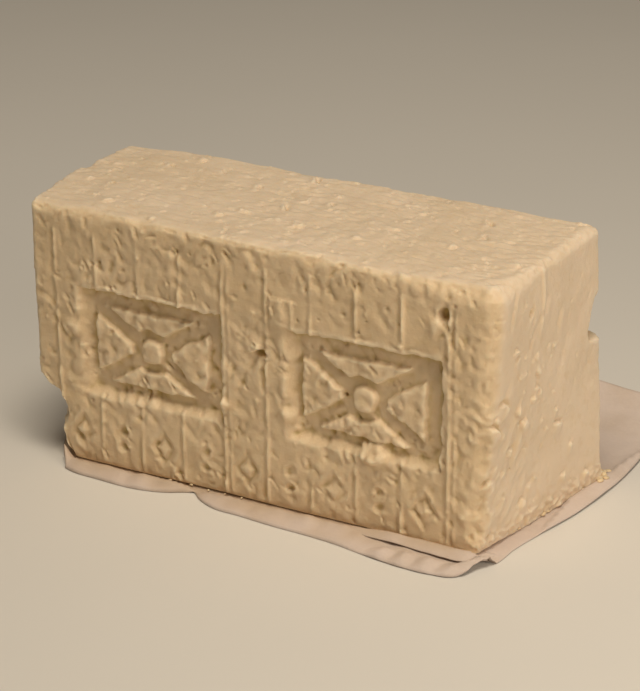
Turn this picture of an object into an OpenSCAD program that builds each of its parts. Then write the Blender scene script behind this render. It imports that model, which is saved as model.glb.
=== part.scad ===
// A block of feta cheese that stands on the sheet of paper it was wrapped in.
// X runs along the stamped face, Y from that face to the back, and Z is up.
// The origin is on the underside of the paper, below the middle of the block.

/* [Block] */
// Length of the block, along its stamped face
block_length = 220; // [160:1:300]
// Depth of the block, from its stamped face to its back
block_depth = 88; // [60:1:130]
// Height of the block as it stands
block_height = 114; // [90:1:150]
// Radius of the upright corners, seen from above
corner_radius = 6; // [5:0.5:14]
// Radius of the worn edges
edge_radius = 4; // [2:0.5:5]

/* [Hand-cut faces] */
// How far the front left top corner stands up
front_left_lift = 0.5; // [0:0.5:6]
// How far the back left top corner stands up
back_left_lift = 1.5; // [0:0.5:6]
// How far the left end leans out at the top of its back edge
left_end_lean = 5; // [0:0.5:10]
// How far the back leans in at that corner
left_back_tuck = 3; // [0:0.5:6]
// How far the foot of the right end is cut in at the front
right_foot_tuck = 7.5; // [0:0.5:12]
// How far the foot of the right end stands out at the back
right_foot_flare = 11.5; // [0:0.5:12]
// How far the top of the right end stands out at the back
right_top_flare = 5; // [0:0.5:10]

/* [Mould ribs] */
// Distance from one rib to the next
rib_pitch = 20.4; // [14:0.1:24]
// Width of a rib
rib_width = 1.6; // [1:0.1:3]
// How far a rib stands out of the face
rib_height = 0.7; // [0.4:0.1:1.5]

/* [Stamped panels] */
// Number of panels side by side
panel_count = 2; // [1:1:3]
// Width of a panel
panel_width = 70; // [40:1:80]
// Height of a panel
panel_height = 49; // [30:1:60]
// Face left between two panels
panel_gap = 30; // [10:1:40]
// Height of the panels' lower edge above the foot of the block
panel_foot = 33; // [26:1:40]
// Depth of the stamping
panel_sink = 3; // [1:0.1:5]
// Width of the channel round a panel
border_channel = 7; // [4:0.5:10]
// Width of the crossed channels
cross_channel = 6; // [3:0.5:9]
// Radius of the boss where the channels cross
boss_radius = 6.5; // [4:0.5:8]
// Width of the channel round the boss
boss_channel = 3; // [2:0.5:5]

/* [Stamped marks] */
// Height of a mark in the row below the panels
mark_height = 14; // [8:0.5:16]
// Width of a mark
mark_width = 10; // [6:0.5:12]
// Width of the groove that draws a mark
mark_groove = 2; // [1:0.1:3]
// Depth of the groove
mark_sink = 0.9; // [0.5:0.1:2]
// Height of the row's middle above the foot of the block
mark_middle = 15; // [10:0.5:18]

/* [Damage] */
// Width of the piece that has broken off the left foot, along the stamped face
break_width = 16; // [6:0.5:20]
// How far that break runs back along the left end
break_depth = 28; // [10:1:40]
// Height at which the break begins to narrow
break_shoulder = 27; // [10:1:35]
// Height of the whole break
break_height = 38; // [36:1:60]
// Width of the notch in the right end's back edge, along the back
notch_width = 11.5; // [4:0.5:16]
// How far the notch runs forward along the right end
notch_depth = 21; // [8:1:30]
// Height of the notch's foot above the foot of the block
notch_foot = 66; // [30:1:72]
// Height of the notch
notch_height = 22; // [12:1:30]
// Radius of the round hole near the top right corner of the stamped face
hole_radius = 3; // [1.5:0.5:5]
// How far that hole lies from the right end
hole_inset = 24; // [12:1:40]
// How far that hole lies below the top
hole_drop = 12; // [8:1:30]
// Width of the crack between the panels
crack_width = 6; // [3:0.5:10]
// Height of the crack above the foot of the block
crack_rise = 67; // [40:1:90]

/* [Wrapping paper] */
// Thickness of the folded paper
paper_thickness = 0.6; // [0.4:0.1:1.5]
// How far the paper reaches in front of the stamped face, near the right end
paper_front = 20; // [6:1:30]
// How far it reaches in front of the face, near the left end
paper_front_left = 10; // [4:1:20]
// How far it reaches in front of the face at its nick
paper_nick = 5; // [2:1:10]
// How far the nick lies from the left end of the block
nick_inset = 80; // [40:1:120]
// How far the paper's right front corner lies in from the right end of the block
right_corner_inset = 14; // [8:1:40]
// How far the paper reaches past the right end, at its front edge
paper_right_front = 2; // [0:1:10]
// How far it reaches past the right end, at its back edge
paper_right = 19; // [12:1:40]
// How far the paper lies flat behind the block
paper_back = 40; // [10:1:80]
// Radius to which the paper's back edge curls up
curl_radius = 70; // [30:1:120]
// Angle through which the back edge curls
curl_angle = 36; // [10:1:60]
// Radius to which the paper is turned up beside the broken foot
turn_up_radius = 6; // [4:0.5:14]
// Angle through which it is turned up there
turn_up_angle = 65; // [10:1:80]
// Gap between the turned-up paper and the broken face
turn_up_gap = 1.5; // [0.5:0.5:4]
// Width over which the front edge steps in to its nick
nick_width = 12; // [4:1:20]

/* [Hidden] */

half_length = block_length / 2;
half_depth = block_depth / 2;
foot = paper_thickness;
top = foot + block_height;
front = -half_depth;
through = 2; // how far a cut runs past the face that it opens
slice = 0.1; // thickness of the slices that the damage is hulled from
seam = 0.5; // how far a curled edge runs into the flat sheet
paper_back_inset = 6; // how far the sheet's back left corner lies in from the block's left end

// As many ribs as the face has room for. Their row is centred a little left of the face's middle.
rib_count = floor((block_length - 2 * corner_radius) / rib_pitch);
rib_row_shift = -2.6;
rib_first = rib_row_shift - rib_pitch * (rib_count - 1) / 2;
rib_end_gap = edge_radius;

panel_pitch = panel_width + panel_gap;
panel_first = -panel_pitch * (panel_count - 1) / 2;
panel_row_shift = 1;
panel_middle = foot + panel_foot + panel_height / 2;
pad_width = panel_width - 2 * border_channel;
pad_height = panel_height - 2 * border_channel;
cross_angle = atan2(pad_height, pad_width);

mark_count = rib_count - 1;
dot_radius = mark_groove;

left_face_tuck = 2; // how far the left edge of the stamped face is drawn in by the mould

CHEESE = "#efe3c6";
PAPER = "#f4efe8";

// The block's true corners. Each is [x, y, z], and the faces between them are a little out of square.
block_corners = [
    [-half_length + left_face_tuck, front, foot],
    [half_length - right_foot_tuck, front, foot],
    [half_length + right_foot_flare, half_depth, foot],
    [-half_length, half_depth, foot],
    [-half_length + left_face_tuck, front, top + front_left_lift],
    [half_length, front, top],
    [half_length + right_top_flare, half_depth, top],
    [-half_length - left_end_lean, half_depth - left_back_tuck, top + back_left_lift],
];

function inward(value, middle, by) = value > middle ? value - by : value + by;

// A round knob for one corner. Its outside is an upright rounding with a worn edge above and below it.
module corner_knob() {
    rotate_extrude($fn = 28)
        translate([corner_radius - edge_radius, 0])
            intersection() {
                circle(r = edge_radius, $fn = 20);
                translate([edge_radius - corner_radius, -edge_radius])
                    square([corner_radius, 2 * edge_radius]);
            }
}

module block_body() {
    hull()
        for (corner = block_corners)
            translate([
                inward(corner[0], 0, corner_radius),
                inward(corner[1], 0, corner_radius),
                inward(corner[2], panel_middle, edge_radius)
            ])
                corner_knob();
}

// One rib of cheese that was pressed into a slot of the mould. It stops short of the top and the foot.
module mould_rib() {
    translate([-rib_width / 2, front - rib_height, foot + rib_end_gap])
        cube([rib_width, rib_height + through, block_height - 2 * rib_end_gap]);
}

module mould_ribs() {
    for (i = [0 : rib_count - 1])
        translate([rib_first + i * rib_pitch, 0, 0])
            mould_rib();
}

// What stays standing inside a panel: four pads between crossed channels, and a round boss.
module panel_pads() {
    difference() {
        translate([-pad_width / 2, 0, -pad_height / 2])
            cube([pad_width, panel_sink, pad_height]);
        for (side = [-1, 1])
            rotate([0, side * cross_angle, 0])
                translate([-panel_width, -through, -cross_channel / 2])
                    cube([2 * panel_width, panel_sink + 2 * through, cross_channel]);
        rotate([90, 0, 0])
            cylinder(r = boss_radius + boss_channel, h = 2 * (panel_sink + through), center = true, $fn = 64);
    }
    rotate([-90, 0, 0])
        cylinder(r = boss_radius, h = panel_sink, $fn = 64);
}

// The channels of one panel, as the solid that the stamp pushes out of the face.
module panel_channels() {
    difference() {
        translate([-panel_width / 2, -through, -panel_height / 2])
            cube([panel_width, through + panel_sink, panel_height]);
        panel_pads();
    }
}

module stamped_panels() {
    for (i = [0 : panel_count - 1])
        translate([panel_row_shift + panel_first + i * panel_pitch, front, panel_middle])
            panel_channels();
}

function lozenge(width, height) = [[width / 2, 0], [0, height / 2], [-width / 2, 0], [0, -height / 2]];

// A groove of even width that runs round a lozenge.
module lozenge_mark() {
    steepness = norm([mark_width, mark_height]);
    inner_width = mark_width - 2 * mark_groove * steepness / mark_height;
    inner_height = mark_height - 2 * mark_groove * steepness / mark_width;
    translate([0, mark_sink, 0])
        rotate([90, 0, 0])
            difference() {
                linear_extrude(mark_sink + through)
                    polygon(lozenge(mark_width, mark_height));
                translate([0, 0, -through])
                    linear_extrude(mark_sink + 3 * through)
                        polygon(lozenge(inner_width, inner_height));
            }
}

module dotted_mark() {
    for (side = [-1, 1])
        translate([0, mark_sink, side * mark_height / 4])
            rotate([90, 0, 0])
                cylinder(r = dot_radius, h = mark_sink + through, $fn = 32);
}

// A plain row of lozenges and pairs of dots, one mark between each two ribs.
module stamped_marks() {
    for (i = [0 : mark_count - 1])
        translate([rib_first + (i + 0.5) * rib_pitch, front, foot + mark_middle])
            if (i % 2 == 0)
                lozenge_mark();
            else
                dotted_mark();
}

// A slice of a wedge that cuts a corner off: it runs the given lengths along the block's two faces.
module corner_slice(along_x, along_y) {
    linear_extrude(slice)
        polygon([[-through, -through], [along_x + through, -through], [-through, along_y + through]]);
}

// The piece that has broken off the foot of the left front corner.
module broken_foot() {
    hull()
        translate([-half_length, front, foot]) {
            translate([0, 0, -through])
                corner_slice(break_width, break_depth);
            translate([0, 0, break_shoulder])
                corner_slice(break_width, break_depth);
            translate([0, 0, break_height])
                corner_slice(through, through);
        }
}

// The notch in the right end's back edge: it deepens downwards and ends at a ledge.
module edge_notch() {
    hull()
        translate([half_length + max(right_top_flare, right_foot_flare), half_depth, foot + notch_foot])
            rotate([0, 0, 180]) {
                corner_slice(notch_width, notch_depth);
                translate([0, 0, notch_height])
                    corner_slice(through, through);
            }
}

// The openings that the curds left as the block drained.
module curd_holes() {
    translate([half_length - hole_inset, front, top - hole_drop])
        sphere(r = hole_radius, $fn = 24);
    translate([0, front, foot + crack_rise])
        rotate([0, 90, 0])
            cylinder(r = crack_width / 3, h = crack_width, $fn = 24);
}

module cheese_block() {
    color(CHEESE)
        difference() {
            union() {
                block_body();
                mould_ribs();
            }
            stamped_panels();
            stamped_marks();
            broken_foot();
            edge_notch();
            curd_holes();
        }
}

function between(low, high, t) = low + (high - low) * t;

// Rises quickly from low and levels out at high, as t goes from 0 to 1.
function swell(low, high, t) = between(low, high, sin(90 * t));

// The corners of the flat sheet. It is walked anticlockwise, from the left end of its front edge. The
// edge that is turned up there runs along the broken foot.
paper_back_edge = half_depth + paper_back;
left_corner = [
    -half_length - turn_up_gap + break_width * (1 + paper_front_left / break_depth),
    front - paper_front_left
];
turn_up_end = [-half_length - turn_up_gap, front + break_depth];
nick = [-half_length + nick_inset, front - paper_nick];
nick_start = [nick[0] - nick_width, front - paper_front_left];
right_corner_x = half_length - right_corner_inset;

front_swell = [for (t = [0.25 : 0.25 : 1])
    [between(nick[0], right_corner_x, t), front - swell(paper_nick, paper_front, t)]];
right_swell = [for (t = [0 : 0.25 : 1])
    [half_length + swell(paper_right_front, paper_right, t), between(front, half_depth, t)]];
back_right_corner = [half_length + paper_right, paper_back_edge];
back_left_corner = [-half_length + paper_back_inset, paper_back_edge];

paper_outline = concat(
    [left_corner, nick_start, nick],
    front_swell,
    right_swell,
    [back_right_corner, back_left_corner, [-half_length, half_depth], [-half_length, 0], turn_up_end]
);

// The part of the sheet that lies flat, under the block and round it.
module flat_sheet() {
    linear_extrude(paper_thickness)
        polygon(paper_outline);
}

// A strip of the sheet that curls up off the table, on the left of the way from start to end. It
// begins a little inside the flat sheet.
module curled_edge(start, end, radius, angle) {
    way = end - start;
    translate([start[0], start[1], radius])
        rotate([0, 0, atan2(way[1], way[0])])
            translate([0, -seam, 0])
                rotate([0, 90, 0])
                    rotate_extrude(angle = angle, $fn = 96)
                        translate([radius - paper_thickness, 0])
                            square([paper_thickness, norm(way)]);
}

module wrapping_paper() {
    color(PAPER)
        union() {
            flat_sheet();
            curled_edge(back_left_corner, back_right_corner, curl_radius, curl_angle);
            curled_edge(left_corner, turn_up_end, turn_up_radius, turn_up_angle);
        }
}

cheese_block();
wrapping_paper();
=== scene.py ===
"""A block of feta cheese, standing on the sheet of paper it was wrapped in.

X runs along the stamped face, Y from that face to the back, and Z is up. The origin lies on the
underside of the paper. Sizes are in millimetres, and each mesh is written in metres at its end.
"""

import itertools
import math

import bmesh
import bpy
import numpy as np
from mathutils import Matrix, Vector


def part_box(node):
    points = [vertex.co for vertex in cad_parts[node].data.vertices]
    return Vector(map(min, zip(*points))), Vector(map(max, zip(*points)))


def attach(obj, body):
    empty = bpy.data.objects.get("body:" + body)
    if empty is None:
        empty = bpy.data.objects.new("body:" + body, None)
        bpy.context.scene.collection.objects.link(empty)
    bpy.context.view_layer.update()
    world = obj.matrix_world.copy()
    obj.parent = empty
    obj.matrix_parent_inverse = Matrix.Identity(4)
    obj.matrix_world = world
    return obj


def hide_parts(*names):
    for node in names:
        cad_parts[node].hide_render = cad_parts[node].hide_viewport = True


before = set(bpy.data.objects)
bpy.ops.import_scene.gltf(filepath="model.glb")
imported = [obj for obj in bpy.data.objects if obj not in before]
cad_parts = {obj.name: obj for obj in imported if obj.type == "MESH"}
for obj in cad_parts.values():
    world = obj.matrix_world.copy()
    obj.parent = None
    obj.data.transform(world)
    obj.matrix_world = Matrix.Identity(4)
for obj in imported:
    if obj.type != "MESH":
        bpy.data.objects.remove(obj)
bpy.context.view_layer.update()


# The block: one pressed block of brined cheese. Its mould left the ribs and the stamped panels on the
# front, a knife cut its top and its right end, and it has lost a foot and some of its edges since.
METRE = 1000.0  # in millimetres
CELL = 0.56  # spacing of the skin's mesh before it is thinned
KEPT_FACES = 197000  # triangles left once it is thinned

block_low, block_high = (np.array(corner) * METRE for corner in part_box("cheese_block"))
FOOT = block_low[2]  # the block stands on the paper
HALF = np.array([110.0, 44.0, 56.5])  # half the length, depth and height, before the corners are set

# How far each corner of the block lies inside the corner of its box. The cuts aren't square.
corner_insets = {
    (-1, -1, -1): (8.0, 0.7, 0.0),
    (1, -1, -1): (19.0, 0.7, 0.0),
    (1, 1, -1): (0.0, 0.0, 0.0),
    (-1, 1, -1): (5.0, 0.0, 0.0),
    (-1, -1, 1): (9.2, 0.7, -1.8),
    (1, -1, 1): (11.5, 0.7, 1.3),
    (1, 1, 1): (5.8, 0.0, 0.6),
    (-1, 1, 1): (2.2, 2.5, -1.0),
}


def smooth(t):
    """Eases from 0 to 1 as t goes from 0 to 1."""
    t = np.clip(t, 0.0, 1.0)
    return t * t * (3.0 - 2.0 * t)


def bell(offset, width):
    """A smooth bump: 1 where the offset is 0, and almost gone two widths away."""
    return np.exp(-((offset / width) ** 2))


def soft_noise(points, size, seed):
    """Smooth noise between about -1 and 1, with features about as wide as size, along each axis."""
    chance = np.random.default_rng(seed)
    slopes = chance.normal(size=(256, 3))
    slopes /= np.linalg.norm(slopes, axis=1)[:, None]
    order = chance.permutation(256)
    scaled = points / np.asarray(size, float)
    cell = np.floor(scaled).astype(np.int64)
    offset = scaled - cell
    ease = offset**3 * (offset * (offset * 6.0 - 15.0) + 10.0)
    total = np.zeros(len(points))
    for step in itertools.product((0, 1), repeat=3):
        at = (cell + step) & 255
        hashed = order[(order[(order[at[:, 0]] + at[:, 1]) & 255] + at[:, 2]) & 255]
        share = np.prod(np.where(step, ease, 1.0 - ease), axis=1)
        total += share * ((offset - step) * slopes[hashed]).sum(axis=1)
    return total * 1.7


def cube_skin(cells):
    """A closed cube from -1 to 1, each face a grid, with the given number of cells along each axis."""
    skin = bmesh.new()
    turns = {
        0: Matrix.Rotation(math.pi / 2, 4, "Y"),
        1: Matrix.Rotation(-math.pi / 2, 4, "X"),
        2: Matrix.Identity(4),
    }
    grid_cells = {0: (cells[2], cells[1]), 1: (cells[0], cells[2]), 2: (cells[0], cells[1])}
    for axis, side in itertools.product(range(3), (-1, 1)):
        out = Vector([0.0, 0.0, 0.0])
        out[axis] = side
        place = Matrix.Translation(out) @ turns[axis]
        across, along = grid_cells[axis]
        bmesh.ops.create_grid(skin, x_segments=across, y_segments=along, size=1.0, matrix=place)
    bmesh.ops.remove_doubles(skin, verts=skin.verts, dist=0.0005)
    bmesh.ops.recalc_face_normals(skin, faces=skin.faces)
    return skin


def points_of(mesh):
    points = np.empty(len(mesh.vertices) * 3)
    mesh.vertices.foreach_get("co", points)
    return points.reshape(-1, 3)


def normals_of(mesh):
    normals = np.empty(len(mesh.vertices) * 3, np.float32)
    mesh.vertex_normals.foreach_get("vector", normals)
    return normals.reshape(-1, 3).astype(float)


def move_points(mesh, points):
    mesh.vertices.foreach_set("co", points.astype(np.float32).ravel())
    mesh.update()


def write_values(mesh, name, values):
    """Gives each point of a mesh a value, for a material to read by name."""
    mesh.attributes.new(name, "FLOAT", "POINT").data.foreach_set("value", values.astype(np.float32))


def mesh_from(build, name):
    mesh = bpy.data.meshes.new(name)
    build.to_mesh(mesh)
    build.free()
    return mesh


def add_to_scene(name, data):
    piece = bpy.data.objects.new(name, data)
    bpy.context.scene.collection.objects.link(piece)
    return piece


block_mesh = mesh_from(cube_skin([round(2.0 * half / CELL) for half in HALF]), "cheese_skin")

# The worn edges: sharp along the stamped face's top, soft down the right end's front edge. Most have the
# first radius, and the extras say how much rounder the others are.
EDGE_RADIUS = 2.5
RIGHT_FRONT_EXTRA = 5.0
RIGHT_BACK_EXTRA = 1.7
LEFT_BACK_EXTRA = 3.0
FOOT_RADIUS = 1.1
FRONT_FOOT_EXTRA = 2.1
cube = points_of(block_mesh)
right_side = smooth((cube[:, 0] - 0.5) * 2.0)
front_side = smooth((-cube[:, 1] - 0.2) * 1.5)
left_back = smooth((-cube[:, 0] - 0.5) * 2.0) * smooth((cube[:, 1] - 0.2) * 1.5)
edge_radius = (EDGE_RADIUS + RIGHT_FRONT_EXTRA * right_side * front_side
               + RIGHT_BACK_EXTRA * right_side * (1.0 - front_side) + LEFT_BACK_EXTRA * left_back)
edge_radius += 0.7 * soft_noise(cube * HALF, 17.0, 3)
foot_radius = FOOT_RADIUS + FRONT_FOOT_EXTRA * front_side
edge_radius -= (edge_radius - foot_radius) * smooth((-cube[:, 2] - 0.88) / 0.06)
edge_radius = edge_radius[:, None]
straight = cube * HALF
core = np.clip(straight, edge_radius - HALF, HALF - edge_radius)
outward = straight - core
outward /= np.linalg.norm(outward, axis=1)[:, None]
rounded = (core + outward * edge_radius) / HALF
edge_share = smooth((1.0 - np.abs(outward).max(axis=1)) / 0.29)

# The true corners pull the rounded block a little out of square.
block = np.zeros_like(rounded)
for signs, inset in corner_insets.items():
    share = np.prod(0.5 * (1.0 + rounded * signs), axis=1)
    corner = np.where(np.array(signs) > 0, block_high - inset, block_low + inset)
    block += share[:, None] * corner
block += 0.35 * np.stack([soft_noise(block, 46.0, seed) for seed in (11, 12, 13)], axis=1)

# The left end of the top swells out of line, and breaks off at a step halfway back. The left half of the
# top is a little crowned towards the back.
SWELLS_OUT = 2.6
CROWN_RISE = 0.9
swelling = smooth((block[:, 1] + 44.0) / 34.0) * (1.0 - smooth((block[:, 1] - 0.5) / 4.0))
swelling += 0.25 * smooth((block[:, 1] - 6.0) / 14.0) * smooth((36.0 - block[:, 1]) / 18.0)
block[:, 0] -= (SWELLS_OUT * swelling * smooth((-90.0 - block[:, 0]) / 18.0)
                * smooth((block[:, 2] - 86.0) / 24.0))
crowned = smooth((block[:, 0] + 102.0) / 22.0) * smooth((-14.0 - block[:, 0]) / 40.0)
block[:, 2] += CROWN_RISE * crowned * smooth((block[:, 1] - 8.0) / 30.0) * smooth((block[:, 2] - 70.0) / 40.0)

# Along the front the top falls away to a worn, scalloped edge, most of all at the left.
edgewise = np.stack([block[:, 0], np.zeros(len(block)), np.zeros(len(block))], axis=1)
fall = 0.4 + 1.6 * smooth((-35.0 - block[:, 0]) / 60.0)
fall += 2.9 * np.clip(soft_noise(edgewise, 14.0, 14) + 0.15, -0.3, 1.2) + 1.0 * soft_noise(edgewise, 5.5, 15)
fall *= smooth((block[:, 0] + 108.0) / 12.0) * smooth((block[:, 2] - 99.0) / 14.0)
fall *= np.clip((-37.0 + 3.0 * soft_noise(edgewise, 19.0, 16) - block[:, 1]) / 7.0, 0.0, 1.2) ** 2
block[:, 2] -= np.maximum(fall, -0.2) * smooth((112.0 - block[:, 0]) / 12.0)
move_points(block_mesh, block)
facing = normals_of(block_mesh)


TURNED_AWAY = 0.45
TURNED_TOWARDS = 0.85


def on_face(axis, side):
    """The points on one face, and how squarely each one faces that way."""
    squareness = smooth((side * facing[:, axis] - TURNED_AWAY) / (TURNED_TOWARDS - TURNED_AWAY))
    chosen = np.nonzero(squareness > 0.0)[0]
    return chosen, squareness[chosen]


def near(u, v, at, reach):
    """The points of a face within reach of a spot, and where they lie from it."""
    chosen = np.nonzero((np.abs(u - at[0]) < reach) & (np.abs(v - at[1]) < reach))[0]
    return chosen, u[chosen] - at[0], v[chosen] - at[1]


def scar(height, u, v, at, slant, length, width, depth):
    """A short dent, dragged along at a slant, with cheese pushed up along one side of it."""
    chosen, du, dv = near(u, v, at, length + 4.0 * width)
    slant = math.radians(slant)
    along = du * math.cos(slant) + dv * math.sin(slant)
    across = dv * math.cos(slant) - du * math.sin(slant) + 0.12 * along**2 / length
    fade = smooth(1.0 - (along / length) ** 2)
    groove = bell(across, width)
    lip = bell(across + 2.0 * width, 1.3 * width)
    height[chosen] += fade * depth * (0.5 * lip - groove)


def flake(height, u, v, at, slant, length, width, rise):
    """A tongue of cheese that the knife dragged up: it rises slowly, and ends at a sharp lip."""
    chosen, du, dv = near(u, v, at, length + width + 2.0)
    slant = math.radians(slant)
    along = du * math.cos(slant) + dv * math.sin(slant)
    across = dv * math.cos(slant) - du * math.sin(slant)
    along = along + 0.35 * np.abs(across) + 0.12 * width * np.sin(3.1 * across / width + at[0])
    sides = smooth(1.25 * (1.0 - np.abs(across) / width))
    climb = np.clip((along + length) / (2.0 * length), 0.0, 1.0) ** 1.4
    lip = 1.0 - smooth((along - length) / 0.5 + 0.5)
    gap = bell(along - length - 0.9, 0.7)
    height[chosen] += sides * rise * (climb * lip - 0.45 * gap)


def lump(height, u, v, at, size, rise, squareness=3.0):
    """A curd that stands out, or with a negative rise a hole. Size is its half width and half height."""
    chosen, du, dv = near(u, v, at, 2.0 * max(size))
    reach = np.sqrt((du / size[0]) ** 2 + (dv / size[1]) ** 2)
    height[chosen] += rise * np.exp(-(reach**squareness))


def creases(points, size, seed):
    """Thin wandering lines, 1 on a line and 0 away from it, that come and go."""
    line = bell(soft_noise(points, size, seed), 0.085)
    comes_and_goes = soft_noise(points, 2.0 * np.asarray(size, float), seed + 500)
    return line * np.clip(0.35 + 1.2 * comes_and_goes, 0.0, 1.0)


def pitted(noise):
    """Keeps the low parts of a noise, and almost flattens the high ones."""
    return noise - 0.8 * np.abs(noise)


def somewhere(chance, u_range, v_range):
    return chance.uniform(*u_range), chance.uniform(*v_range)


def chance_scar(height, u, v, at, chance, slants, lengths, widths, depths):
    """A scar whose slant has the given mean and spread, and whose sizes lie in the given ranges."""
    scar(height, u, v, at, chance.normal(*slants), chance.uniform(*lengths), chance.uniform(*widths),
         chance.uniform(*depths))


def chance_flake(height, u, v, at, chance, slants, lengths, widths, rises):
    """A flake drawn in the same way, except that its width goes by its length."""
    length = chance.uniform(*lengths)
    flake(height, u, v, at, chance.normal(*slants), length, length * chance.uniform(*widths),
          chance.uniform(*rises))


# How far the skin stands out from the plain block, for each point. Every face is a little uneven.
relief = np.zeros(len(block))
patchy = np.clip(0.65 + 1.1 * soft_noise(block, 21.0, 24), 0.15, 1.3)
relief += 0.42 * soft_noise(block, 17.0, 21)
relief += 0.22 * patchy * soft_noise(block, 6.0, 22)
relief += 0.09 * patchy * soft_noise(block, 2.6, 23)

# The stamped face. Ribs of cheese filled the mould's slots, and stop where a panel is stamped.
RIB_PITCH = 20.4
FIRST_RIB = -94.4
RIB_COUNT = 10
RIB_WIDTH = 0.65
RIB_RISE = 1.0
RIB_FOOT = 1.0
RIB_TOP = 108.0
PANEL_SINK = 3.6
PANEL_MIDDLES = (-49.0, 51.0)
PANEL_HALF = (35.0, 24.5)
PANEL_FOOT = 33.0
BORDER_CHANNEL = 7.0
CROSS_CHANNEL = 6.0
BOSS_RADIUS = 6.5
BOSS_CHANNEL = 3.0
WALL_SLOPES = {"left": 6.0, "right": 1.3, "foot": 4.0, "top": 1.0}  # how wide each wall's slope is
PAD_SHARE = 0.66  # of the panel's depth
BOSS_SHARE = 0.75
TOP_LIP_RISE = 0.75
TOP_SLIT_DEPTH = 0.45


def ridge(off):
    """A rib across its width, with the shallow dip that lies along its left side."""
    return bell(off, RIB_WIDTH) - 0.4 * bell(off + 2.0, 0.8)


front, front_share = on_face(1, -1)
x = block[front, 0]
z = block[front, 2] - FOOT
flat = np.stack([x, np.zeros_like(x), z], axis=1)
height = np.zeros(len(front))
ragged_x = x + 0.55 * soft_noise(flat, 3.4, 31) + 0.9 * soft_noise(flat, 9.0, 32)
ragged_z = z + 0.55 * soft_noise(flat, 3.4, 33) + 0.9 * soft_noise(flat, 9.0, 34)
in_panel = np.zeros(len(front))
rough = soft_noise(flat, 4.2, 35)
for middle in PANEL_MIDDLES:
    across = ragged_x - middle
    up = ragged_z - PANEL_FOOT - PANEL_HALF[1]
    wall = np.clip(np.minimum.reduce([
        (across + PANEL_HALF[0]) / WALL_SLOPES["left"],
        (PANEL_HALF[0] - across) / WALL_SLOPES["right"],
        (up + PANEL_HALF[1]) / WALL_SLOPES["foot"],
        (PANEL_HALF[1] - up) / WALL_SLOPES["top"],
    ]), 0.0, 1.0)
    in_panel = np.maximum(in_panel, wall)

    # Four pads and a round boss stand between the border channel and the two that cross.
    pad = np.array(PANEL_HALF) - BORDER_CHANNEL
    tilt = math.atan2(pad[1], pad[0])
    rise_way, fall_way = (np.abs(across * math.sin(turn) - up * math.cos(turn)) for turn in (tilt, -tilt))
    from_cross = np.minimum(rise_way, fall_way) - CROSS_CHANNEL / 2
    from_edge = np.minimum(pad[0] - np.abs(across), pad[1] - np.abs(up))
    from_middle = np.hypot(across, up)
    pads = smooth(np.minimum.reduce([from_edge, from_cross, from_middle - BOSS_RADIUS - BOSS_CHANNEL]) / 1.1)
    boss = smooth((BOSS_RADIUS - from_middle) / 2.0)
    pads *= PAD_SHARE + 0.16 * rough + 0.03 * soft_noise(flat, 2.1, 45)
    standing = np.maximum(pads, BOSS_SHARE * boss)
    height += PANEL_SINK * wall * (standing - 1.0)

    # Along the panel's top edge the mould left a raised lip, and a broken slit above it.
    lip = bell(up - PANEL_HALF[1] - 0.9, 0.7) * smooth((PANEL_HALF[0] - 2.0 - np.abs(across)) / 4.0)
    height += TOP_LIP_RISE * lip * np.clip(0.5 + 1.3 * soft_noise(flat, (9.0, 1.0, 4.0), 36), 0.0, 1.2)
    slit = bell(up - PANEL_HALF[1] - 2.3, 0.5) * smooth((PANEL_HALF[0] - 4.0 - np.abs(across)) / 4.0)
    height -= TOP_SLIT_DEPTH * slit * np.clip(0.3 + 1.5 * soft_noise(flat, (11.0, 1.0, 5.0), 37), 0.0, 1.0)

for rib in range(RIB_COUNT):
    rib_x = FIRST_RIB + rib * RIB_PITCH
    off = x - rib_x - 0.35 * soft_noise(flat, 24.0, 40 + rib)
    strength = np.clip(0.72 + 0.9 * soft_noise(flat, (40.0, 1.0, 13.0), 60 + rib), 0.1, 1.2)
    strength *= (1.0 - in_panel) * smooth((z - RIB_FOOT) / 3.0) * smooth((RIB_TOP - z) / 4.0)
    height += RIB_RISE * strength * ridge(off)
    if rib % 5 == 4:  # beside each panel's right edge the rib is doubled
        height += 0.6 * strength * bell(off - 2.7, 0.6)

# The row of plain marks: a lozenge in every other bay, and a pair of dots between.
MARK_HALF = (5.0, 7.0)
MARK_MIDDLE = 15.0
MARK_SINK = 1.1
MARK_RIM = 0.4
GROOVE_RUNS = 0.86  # of the way from a lozenge's middle to its points
GROOVE_WIDTH = 1.15
DOT_RADIUS = 2.0
for bay in range(RIB_COUNT - 1):
    across = ragged_x - (FIRST_RIB + (bay + 0.5) * RIB_PITCH)
    up = ragged_z - MARK_MIDDLE
    worn = np.clip(0.75 + 0.8 * soft_noise(flat, 6.0, 80 + bay), 0.12, 1.1)
    if bay % 2 == 0:
        steepness = math.hypot(*MARK_HALF) / (MARK_HALF[0] * MARK_HALF[1])
        off = (np.abs(across) / MARK_HALF[0] + np.abs(up) / MARK_HALF[1] - GROOVE_RUNS) / steepness
        height -= MARK_SINK * worn * bell(off, GROOVE_WIDTH)
        height += MARK_RIM * worn * bell(off - 2.4, 1.1)
        height += 0.5 * worn * smooth(-(off + 1.0) / 1.2)
    else:
        for side in (-1, 1):
            reach = np.hypot(across, up - side * MARK_HALF[1] / 2)
            height -= MARK_SINK * worn * np.exp(-((reach / DOT_RADIUS) ** 4))
            height += MARK_RIM * worn * bell(reach - 3.0, 0.8)


def leaned(x, z):
    """The points of an upright face, turned so that their first axis runs along the slant of its scars."""
    return np.stack([0.5 * x + 0.87 * z, x, 0.87 * x - 0.5 * z], axis=1)


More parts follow.
